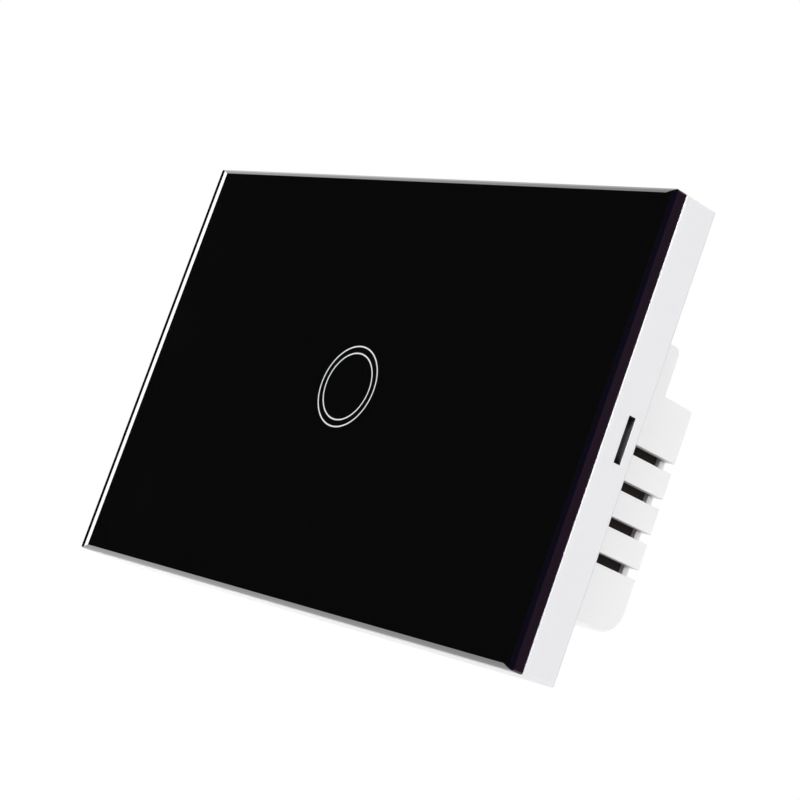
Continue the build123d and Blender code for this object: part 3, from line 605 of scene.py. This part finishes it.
# %% Tree: turns of wire
def build_wire_turns():
    tree, start, end = start_tree("wire_turns", [
        ("Turns", "Float", 6.0), ("Steps", "Int", 32), ("Radius", "Float", 3 * MM),
        ("Height", "Float", 6 * MM), ("Wire", "Float", 0.25 * MM), ("Sides", "Int", 10),
        ("Lean", "Rotation", None), ("Finish", "Material", None),
    ])
    line = add(
        tree, "GeometryNodeCurveSpiral", Resolution=start.outputs["Steps"],
        Rotations=start.outputs["Turns"], Start_Radius=start.outputs["Radius"],
        End_Radius=start.outputs["Radius"], Height=start.outputs["Height"],
    )
    section = add(
        tree, "GeometryNodeCurvePrimitiveCircle",
        Resolution=start.outputs["Sides"], Radius=start.outputs["Wire"],
    )
    wire = add(
        tree, "GeometryNodeCurveToMesh", Curve=line.outputs[0],
        Profile_Curve=section.outputs[0], Fill_Caps=True,
    )
    smooth = add(tree, "GeometryNodeSetShadeSmooth", Geometry=wire.outputs[0])
    finish_tree(tree, start, end, smooth.outputs[0])
    return tree


wire_turns = build_wire_turns()
TOWARDS_FRONT = (math.radians(90), 0.0, 0.0)
TOWARDS_WALL = (math.radians(-90), 0.0, 0.0)
print("tree", wire_turns.name)

# %% [markdown]
# ## The touch spring
# A bare coil stands on the touch board and presses on the back of the glass, where it senses a
# finger. It has six open turns of half-millimetre wire.

# %% Touch spring
low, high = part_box("touch_spring")
SPRING_WIRE = 0.25 * MM
SPRING_TURNS = 6.0
spring_start = (0.0, high.y - SPRING_WIRE, 0.0)
grow(
    "touch_spring_wire", [spring_start], wire_turns, "base", ["touch_spring"], "spring_wire",
    Turns=SPRING_TURNS, Steps=40, Radius=(high.x - low.x) / 2 - SPRING_WIRE,
    Height=high.y - low.y - 2 * SPRING_WIRE, Wire=SPRING_WIRE, Sides=12, Lean=TOWARDS_FRONT,
)

# %% [markdown]
# ## Windings
# A winding is one long wire laid turn beside turn. The turns nearly touch, so their pitch is a
# little over twice the wire's radius. Only the outer layer shows, so a plain sleeve of the same
# colour below it would never be seen, and is left out.

# %% Relay coil and inductor
PITCH_IN_RADII = 2.04


def wind(name, node, wire):
    """One close layer of wire on a CAD winding: as many turns as its height takes."""
    low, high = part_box(node)
    centre, height = (low + high) / 2, high.y - low.y - 2 * wire
    turns = math.floor(height / (PITCH_IN_RADII * wire))
    grow(
        name, [(centre.x, low.y + wire, centre.z)], wire_turns, "base", [node], "copper",
        Turns=float(turns), Steps=28, Radius=(high.x - low.x) / 2 - wire, Height=height,
        Wire=wire, Sides=6, Lean=TOWARDS_WALL,
    )
    print(node, "turns", turns)


wind("relay_coil_turns", "relay_coil", 0.12 * MM)
wind("inductor_turns", "inductor_winding", 0.2 * MM)

# %% [markdown]
# ## Cross-head screws
# A screw is a head, a shank with a thread, and a cross cut into the head. The head is a cylinder, or
# a cone if it is countersunk, trimmed by a blunt cone that gives it its crown. No two of the shapes
# share a flat face, because booleans of faces in one plane easily fail. For the same reason the
# screw is worked out in millimetres and made small at the end. Each boolean is followed by a merge
# of points that lie closer together than the weld distance, so the mesh stays closed.

# %% Helpers for a screw's shapes
def cone(tree, top, bottom, low, high):
    """A closed cone between two heights, with its radius at the top and at the bottom."""
    shape = add(
        tree, "GeometryNodeMeshCone", Vertices=40, Radius_Top=top, Radius_Bottom=bottom,
        Depth=maths(tree, "SUBTRACT", high, low),
    ).outputs[0]
    place = add(tree, "ShaderNodeCombineXYZ", Z=low).outputs[0]
    return add(tree, "GeometryNodeTransform", Geometry=shape, Translation=place).outputs[0]


def combine(tree, operation, first, second, weld):
    """Two shapes joined, shared or cut, with points closer than the weld distance merged."""
    node = add(
        tree, "GeometryNodeMeshBoolean", {"operation": operation, "solver": "EXACT"}, _1=second
    )
    tree.links.new(first, node.inputs[0 if operation == "DIFFERENCE" else 1])
    merged = add(tree, "GeometryNodeMergeByDistance", Geometry=node.outputs[0], Distance=weld)
    return merged.outputs[0]


def thread_ridge(tree, radius, ridge, low, length, turns):
    """A four-sided ridge that winds up a shank and ends two ridges short of both its ends."""
    ends = maths(tree, "MULTIPLY", ridge, 2.0)
    helix = add(
        tree, "GeometryNodeCurveSpiral", Resolution=20, Rotations=turns, Start_Radius=radius,
        End_Radius=radius,
        Height=maths(tree, "SUBTRACT", length, maths(tree, "MULTIPLY", ends, 2.0)),
    ).outputs[0]
    section = add(tree, "GeometryNodeCurvePrimitiveCircle", Resolution=4, Radius=ridge).outputs[0]
    thread = add(
        tree, "GeometryNodeCurveToMesh", Curve=helix, Profile_Curve=section, Fill_Caps=True
    ).outputs[0]
    place = add(tree, "ShaderNodeCombineXYZ", Z=maths(tree, "ADD", low, ends)).outputs[0]
    return add(tree, "GeometryNodeTransform", Geometry=thread, Translation=place).outputs[0]


# %% [markdown]
# ## The tree of a screw
# The tree puts these shapes together. Heights count down from zero at the top of the head. The cross
# is cut by two blocks of slightly unequal depth, so that their floors don't share a plane either.

# %% Tree: cross-head screw
def build_cross_screw():
    tree, start, end = start_tree("cross_screw", [
        ("Head Radius", "Float", 2.3), ("Neck Radius", "Float", 2.3), ("Head Height", "Float", 1.4),
        ("Crown", "Float", 0.2), ("Shank Radius", "Float", 1.0), ("Shank Length", "Float", 5.0),
        ("Thread", "Float", 0.12), ("Thread Turns", "Float", 8.0), ("Cross Width", "Float", 0.6),
        ("Cross Span", "Float", 2.3), ("Cross Depth", "Float", 0.6), ("Overlap", "Float", 0.1),
        ("Weld", "Float", 0.01), ("Lean", "Rotation", None), ("Finish", "Material", None),
    ])
    size = start.outputs
    over, weld = size["Overlap"], size["Weld"]
    foot = maths(tree, "MULTIPLY", size["Head Height"], -1.0)
    flare = maths(tree, "SUBTRACT", size["Head Radius"], size["Neck Radius"])
    rise = maths(tree, "SUBTRACT", size["Head Height"], size["Crown"])
    slope = maths(tree, "DIVIDE", flare, rise)
    reach = maths(tree, "MULTIPLY", slope, maths(tree, "ADD", size["Crown"], over))
    top = maths(tree, "ADD", size["Head Radius"], reach)
    body = cone(tree, top, size["Neck Radius"], foot, over)
    rim = maths(tree, "SUBTRACT", size["Head Radius"], size["Crown"])
    below = maths(tree, "SUBTRACT", foot, over)
    crown = cone(tree, rim, maths(tree, "SUBTRACT", rim, below), below, 0.0)
    head = combine(tree, "INTERSECT", body, crown, weld)
    core = maths(tree, "SUBTRACT", size["Shank Radius"], size["Thread"])
    tip = maths(tree, "SUBTRACT", foot, size["Shank Length"])
    shank = cone(tree, core, core, tip, maths(tree, "ADD", foot, over))
    screw = combine(tree, "UNION", head, shank, weld)
    arms = (("Cross Span", "Cross Width", 2.0), ("Cross Width", "Cross Span", 2.3))
    for wide, tall, times in arms:
        deep = maths(tree, "MULTIPLY", size["Cross Depth"], times)
        block = add(tree, "ShaderNodeCombineXYZ", X=size[wide], Y=size[tall], Z=deep).outputs[0]
        cut = add(tree, "GeometryNodeMeshCube", Size=block).outputs[0]
        screw = combine(tree, "DIFFERENCE", screw, cut, weld)
    threaded = thread_ridge(
        tree, core, size["Thread"], tip, size["Shank Length"], size["Thread Turns"]
    )
    whole = add(tree, "GeometryNodeJoinGeometry")
    tree.links.new(screw, whole.inputs[0])
    tree.links.new(threaded, whole.inputs[0])
    small = add(tree, "GeometryNodeTransform", Geometry=whole.outputs[0], Scale=(MM, MM, MM))
    finish_tree(tree, start, end, small.outputs[0])
    return tree


cross_screw = build_cross_screw()
print("tree", cross_screw.name, "inputs", len(cross_screw.interface.items_tree) - 1)

# %% [markdown]
# ## Where the screws go
# The four cover screws and the four chassis screws each share one CAD node. The corners of a node's
# box, drawn in by the head's radius, are the screws' axes. The shank takes up what the head leaves
# of the box's depth. The sizes of screws are in millimetres.

# %% Cover and chassis screws
def corner_spots(node, radius):
    """The four axes of a node of four equal round pieces, at its front."""
    low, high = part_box(node)
    across, up = (low.x + radius, high.x - radius), (low.z + radius, high.z - radius)
    return [(x, low.y, z) for x in across for z in up]


COVER_HEAD, COVER_HEAD_HEIGHT = 2.3, 1.3
low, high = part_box("cover_screws")
grow(
    "cover_screw_set", corner_spots("cover_screws", COVER_HEAD * MM), cross_screw, "base",
    ["cover_screws"], "zinc_steel", Head_Radius=COVER_HEAD, Neck_Radius=1.1,
    Head_Height=COVER_HEAD_HEIGHT, Crown=0.05, Shank_Radius=1.05,
    Shank_Length=(high.y - low.y) / MM - COVER_HEAD_HEIGHT, Lean=TOWARDS_FRONT,
)
CHASSIS_HEAD, CHASSIS_HEAD_HEIGHT = 2.25, 1.4
low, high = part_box("chassis_screws")
grow(
    "chassis_screw_set", corner_spots("chassis_screws", CHASSIS_HEAD * MM), cross_screw, "base",
    ["chassis_screws"], "zinc_steel", Head_Radius=CHASSIS_HEAD, Neck_Radius=CHASSIS_HEAD,
    Head_Height=CHASSIS_HEAD_HEIGHT, Crown=0.35, Shank_Radius=1.2,
    Shank_Length=(high.y - low.y) / MM - CHASSIS_HEAD_HEIGHT,
    Thread=0.15, Thread_Turns=3.0, Cross_Span=2.25, Lean=TOWARDS_FRONT,
)

# %% [markdown]
# ## Terminal screws
# These three turn on bodies of their own, so each is grown by itself and rides on its own body. Their
# heads face the wall, where an installer reaches them.

# %% Terminal screws
TERMINAL_HEAD, TERMINAL_HEAD_HEIGHT = 2.3, 1.8
for number in (1, 2, 3):
    node = f"terminal_screw_{number}"
    low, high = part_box(node)
    centre = (low + high) / 2
    grow(
        f"clamp_screw_{number}", [(centre.x, high.y, centre.z)], cross_screw, f"screw_{number}",
        [node], "zinc_steel", Head_Radius=TERMINAL_HEAD, Neck_Radius=TERMINAL_HEAD,
        Head_Height=TERMINAL_HEAD_HEIGHT, Crown=0.3, Shank_Radius=1.5,
        Shank_Length=(high.y - low.y) / MM - TERMINAL_HEAD_HEIGHT,
        Thread=0.14, Thread_Turns=9.0, Cross_Span=3.3, Lean=TOWARDS_WALL,
    )

# %% [markdown]
# ## Header pins
# Five square pins join the two boards. A pin is a straight length with a short taper at each end,
# where it starts into its socket. Four-sided cones make both, and merging their shared corners
# closes the pin.

# %% Tree: square pin
TIP_SHARE = 0.55


def build_square_pin():
    tree, start, end = start_tree("square_pin", [
        ("Half Diagonal", "Float", 0.45 * MM), ("Length", "Float", 9 * MM),
        ("Taper", "Float", 0.4 * MM), ("Lean", "Rotation", None), ("Finish", "Material", None),
    ])
    size = start.outputs
    middle = add(
        tree, "ShaderNodeMath", {"operation": "MULTIPLY_ADD"},
        _0=size["Taper"], _1=-2.0, _2=size["Length"],
    ).outputs[0]
    tip = maths(tree, "MULTIPLY", size["Half Diagonal"], TIP_SHARE)
    upper = maths(tree, "ADD", size["Taper"], middle)
    parts = add(tree, "GeometryNodeJoinGeometry")
    lengths = [
        (size["Half Diagonal"], tip, size["Taper"], 0.0),
        (size["Half Diagonal"], size["Half Diagonal"], middle, size["Taper"]),
        (tip, size["Half Diagonal"], size["Taper"], upper),
    ]
    for top, bottom, depth, z in lengths:
        shape = add(
            tree, "GeometryNodeMeshCone", {"fill_type": "NONE"}, Vertices=4,
            Radius_Top=top, Radius_Bottom=bottom, Depth=depth,
        ).outputs[0]
        place = add(tree, "ShaderNodeCombineXYZ", Z=z).outputs[0]
        moved = add(
            tree, "GeometryNodeTransform", Geometry=shape, Translation=place,
            Rotation=(0.0, 0.0, math.radians(45)),
        ).outputs[0]
        tree.links.new(moved, parts.inputs[0])
    for z, turned_over in ((0.0, math.radians(180)), (size["Length"], 0.0)):
        cap = add(
            tree, "GeometryNodeMeshCircle", {"fill_type": "NGON"}, Vertices=4, Radius=tip
        ).outputs[0]
        place = add(tree, "ShaderNodeCombineXYZ", Z=z).outputs[0]
        moved = add(
            tree, "GeometryNodeTransform", Geometry=cap, Translation=place,
            Rotation=(turned_over, 0.0, math.radians(45)),
        ).outputs[0]
        tree.links.new(moved, parts.inputs[0])
    closed = add(
        tree, "GeometryNodeMergeByDistance", Geometry=parts.outputs[0], Distance=0.001 * MM
    )
    finish_tree(tree, start, end, closed.outputs[0])
    return tree


square_pin = build_square_pin()
print("tree", square_pin.name)

# %% [markdown]
# ## Where the pins go
# The pins' box holds all five, so their pitch follows from its length and the width of one pin.

# %% Header pins
low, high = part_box("header_pins")
PIN_COUNT, PIN_WIDTH = 5, 0.64 * MM
pin_pitch = (high.x - low.x - PIN_WIDTH) / (PIN_COUNT - 1)
pin_spots = [
    (low.x + PIN_WIDTH / 2 + i * pin_pitch, low.y, (low.z + high.z) / 2) for i in range(PIN_COUNT)
]
grow(
    "header_pin_set", pin_spots, square_pin, "base", ["header_pins"], "pin_gold",
    Half_Diagonal=PIN_WIDTH / math.sqrt(2), Length=high.y - low.y, Lean=TOWARDS_WALL,
)
print("pin pitch", round(pin_pitch / MM, 3), "mm")

# %% [markdown]
# ## The studio
# The photograph has a bright white background, a face as black as the paper is white, and thin
# bright lines where the glass is bevelled. White surroundings alone would turn the glass grey, so as
# a photographer does, black flags stand where the flat face looks, and bright strips stand where the
# bevels look. They are patches of a large sphere round the switch, seen by reflections only. A card
# lies between two azimuths and two elevations, in degrees, and its strength is its brightness.

# %% A reflection card
CARD_DISTANCE = 3.0
CARD_STEP = 6


def direction(azimuth, elevation):
    """A unit direction: azimuth turns from -X towards -Y, elevation rises from the horizon."""
    a, e = math.radians(azimuth), math.radians(elevation)
    return Vector((-math.cos(a) * math.cos(e), -math.sin(a) * math.cos(e), math.sin(e)))


def angles(first, last):
    """Evenly spaced angles from first to last, about a card step apart."""
    count = max(2, round(abs(last - first) / CARD_STEP) + 1)
    return [first + (last - first) * i / (count - 1) for i in range(count)]


def card(name, azimuths, elevations, strength, colour=(1.0, 1.0, 1.0), distance=CARD_DISTANCE):
    """A patch of a sphere between two azimuths and two elevations, seen only in reflections."""
    columns, rows = angles(*azimuths), angles(*elevations)
    points = [direction(column, row) * distance for row in rows for column in columns]
    across = len(columns)
    starts = [j * across + i for j in range(len(rows) - 1) for i in range(across - 1)]
    faces = [(k, k + 1, k + across + 1, k + across) for k in starts]
    mesh = bpy.data.meshes.new(name)
    mesh.from_pydata([tuple(p) for p in points], [], faces)
    material, tree, shader = start_material(name)
    tree.nodes.remove(shader)
    glow = add(tree, "ShaderNodeEmission", Color=(*colour, 1.0), Strength=strength)
    tree.links.new(glow.outputs[0], tree.nodes["Material Output"].inputs["Surface"])
    mesh.materials.append(material)
    patch = bpy.data.objects.new(name, mesh)
    scene.collection.objects.link(patch)
    patch.visible_camera = False
    patch.visible_diffuse = False
    patch.visible_transmission = False
    patch.visible_shadow = False


# %% [markdown]
# ## Where the cards stand
# One dim flag, farther out than the rest, covers the whole front, so that the glass stays dark from
# other sides too. The other cards are placed for the photo's camera: each stands where its view goes
# once the flat face, a bevel or a side has reflected it. The flag for the right bevel is a deep navy.
# The last two strips brighten the frame's edges.

# %% Reflection cards
BACK_DISTANCE = 3.4
FACE_ELEVATIONS = (-3, 18.7)
card("flag_whole_front", (-8, 188), (-62, 62), 0.2, distance=BACK_DISTANCE)
card("flag_front", (29.5, 55), FACE_ELEVATIONS, 0.0)
card("flag_right_edge", (55, 70), (-3, 24), 1.0, (0.03, 0.012, 0.12))
card("flag_left_edge", (-30, 19.5), FACE_ELEVATIONS, 0.0)
card("flag_right_side", (-168, -106), (-16, 34), 0.0)
card("strip_left", (21, 27), FACE_ELEVATIONS, 10.5)
card("strip_top_facet", (24.5, 38.5), (20.7, 29.8), 3.6)
card("strip_top_edge", (5.5, 14), (31.5, 45.5), 3.6)
card("strip_bottom_facet", (29.3, 43.6), (-11.7, -6.9), 4.3)
card("strip_bottom_edge", (19, 32.5), (-34, -22.5), 4.3)
card("strip_frame_edge", (119, 147), (3, 30), 28.0)
card("strip_frame_low", (-8, 13), (-42, -24), 12.0)

# %% [markdown]
# ## Light and background
# The world is plain white to the camera and to reflections. To everything else it is a soft, even
# light a little below white, so that pale plastic keeps its tone. One broad lamp from the right
# gives the frame's side its brightness, and one from above gives the top a gentle lead. A small weak
# one just over the floor keeps the underside as pale as the rest.

# %% World and lamps
SOFT_STRENGTH, SEEN_STRENGTH = 0.72, 1.0
world = bpy.data.worlds.new("studio")
world.use_nodes = True
scene.world = world
tree = world.node_tree
tree.nodes.remove(tree.nodes["Background"])
ray = add(tree, "ShaderNodeLightPath").outputs
either = maths(tree, "MAXIMUM", ray["Is Camera Ray"], ray["Is Glossy Ray"])
seen = maths(tree, "MAXIMUM", either, ray["Is Transmission Ray"])
soft = add(tree, "ShaderNodeBackground", Color=WHITE, Strength=SOFT_STRENGTH).outputs[0]
white = add(tree, "ShaderNodeBackground", Color=WHITE, Strength=SEEN_STRENGTH).outputs[0]
mixed = add(tree, "ShaderNodeMixShader", _0=seen, _1=soft, _2=white).outputs[0]
tree.links.new(mixed, tree.nodes["World Output"].inputs["Surface"])


def lamp(name, place, size, power):
    """A square soft lamp at this place, aimed at the switch."""
    data = bpy.data.lights.new(name, "AREA")
    data.shape = "SQUARE"
    data.size = size
    data.energy = power
    light = bpy.data.objects.new(name, data)
    scene.collection.objects.link(light)
    light.location = place
    light.rotation_mode = "QUATERNION"
    light.rotation_quaternion = (-Vector(place)).to_track_quat("-Z", "Y")
    light.visible_glossy = False
    light.visible_camera = False


lamp("lamp_right", (0.95, -0.6, 0.15), 0.9, 5.3)
lamp("lamp_top", (-0.2, -0.2, 1.2), 1.0, 4.0)
lamp("lamp_low", (-0.03, 0.03, -0.11), 0.2, 0.08)

# %% [markdown]
# ## The floor
# The camera looks slightly up at the switch, so the floor hardly shows in its picture. Other views
# show more of it. A camera sees it mostly as a white glow, with enough of its real shading left to
# keep the shadow. From underneath it is clear, so that the switch can be looked at from below too.

# %% Floor
FLOOR_HEIGHT, FLOOR_HALF = -0.12, 6.0
GLOW_STRENGTH, GLOW_SHARE = 1.2, 0.7
floor_mesh = bpy.data.meshes.new("floor")
corners = [
    (x * FLOOR_HALF, y * FLOOR_HALF, FLOOR_HEIGHT) for x, y in ((-1, -1), (1, -1), (1, 1), (-1, 1))
]
floor_mesh.from_pydata(corners, [], [(0, 1, 2, 3)])
floor = bpy.data.objects.new("floor", floor_mesh)
scene.collection.objects.link(floor)
floor_material, tree, shader = start_material("floor")
place = add(tree, "ShaderNodeTexCoord").outputs["Object"]
mottle = add(tree, "ShaderNodeTexNoise", Vector=place, Scale=3.0, Detail=3.0).outputs["Fac"]
paper = blend(tree, mottle, (0.90, 0.90, 0.90, 1.0), (0.93, 0.93, 0.93, 1.0))
tree.links.new(paper, shader.inputs["Base Color"])
shader.inputs["Roughness"].default_value = 0.9
shader.inputs["Specular IOR Level"].default_value = 0.0
glow = add(tree, "ShaderNodeEmission", Color=WHITE, Strength=GLOW_STRENGTH).outputs[0]
ray = add(tree, "ShaderNodeLightPath").outputs["Is Camera Ray"]
share = maths(tree, "MULTIPLY", ray, GLOW_SHARE)
from_above = add(tree, "ShaderNodeMixShader", _0=share, _1=shader.outputs[0], _2=glow).outputs[0]
underneath = add(tree, "ShaderNodeNewGeometry").outputs["Backfacing"]
clear = add(tree, "ShaderNodeBsdfTransparent").outputs[0]
floor_look = add(tree, "ShaderNodeMixShader", _0=underneath, _1=from_above, _2=clear).outputs[0]
tree.links.new(floor_look, tree.nodes["Material Output"].inputs["Surface"])
floor_mesh.materials.append(floor_material)
floor.visible_glossy = False
print("floor at", FLOOR_HEIGHT, "m")

# %% [markdown]
# ## Colour handling
# Colours are shown as written, with no film look added.

# %% Colour handling
scene.view_settings.view_transform = "Standard"
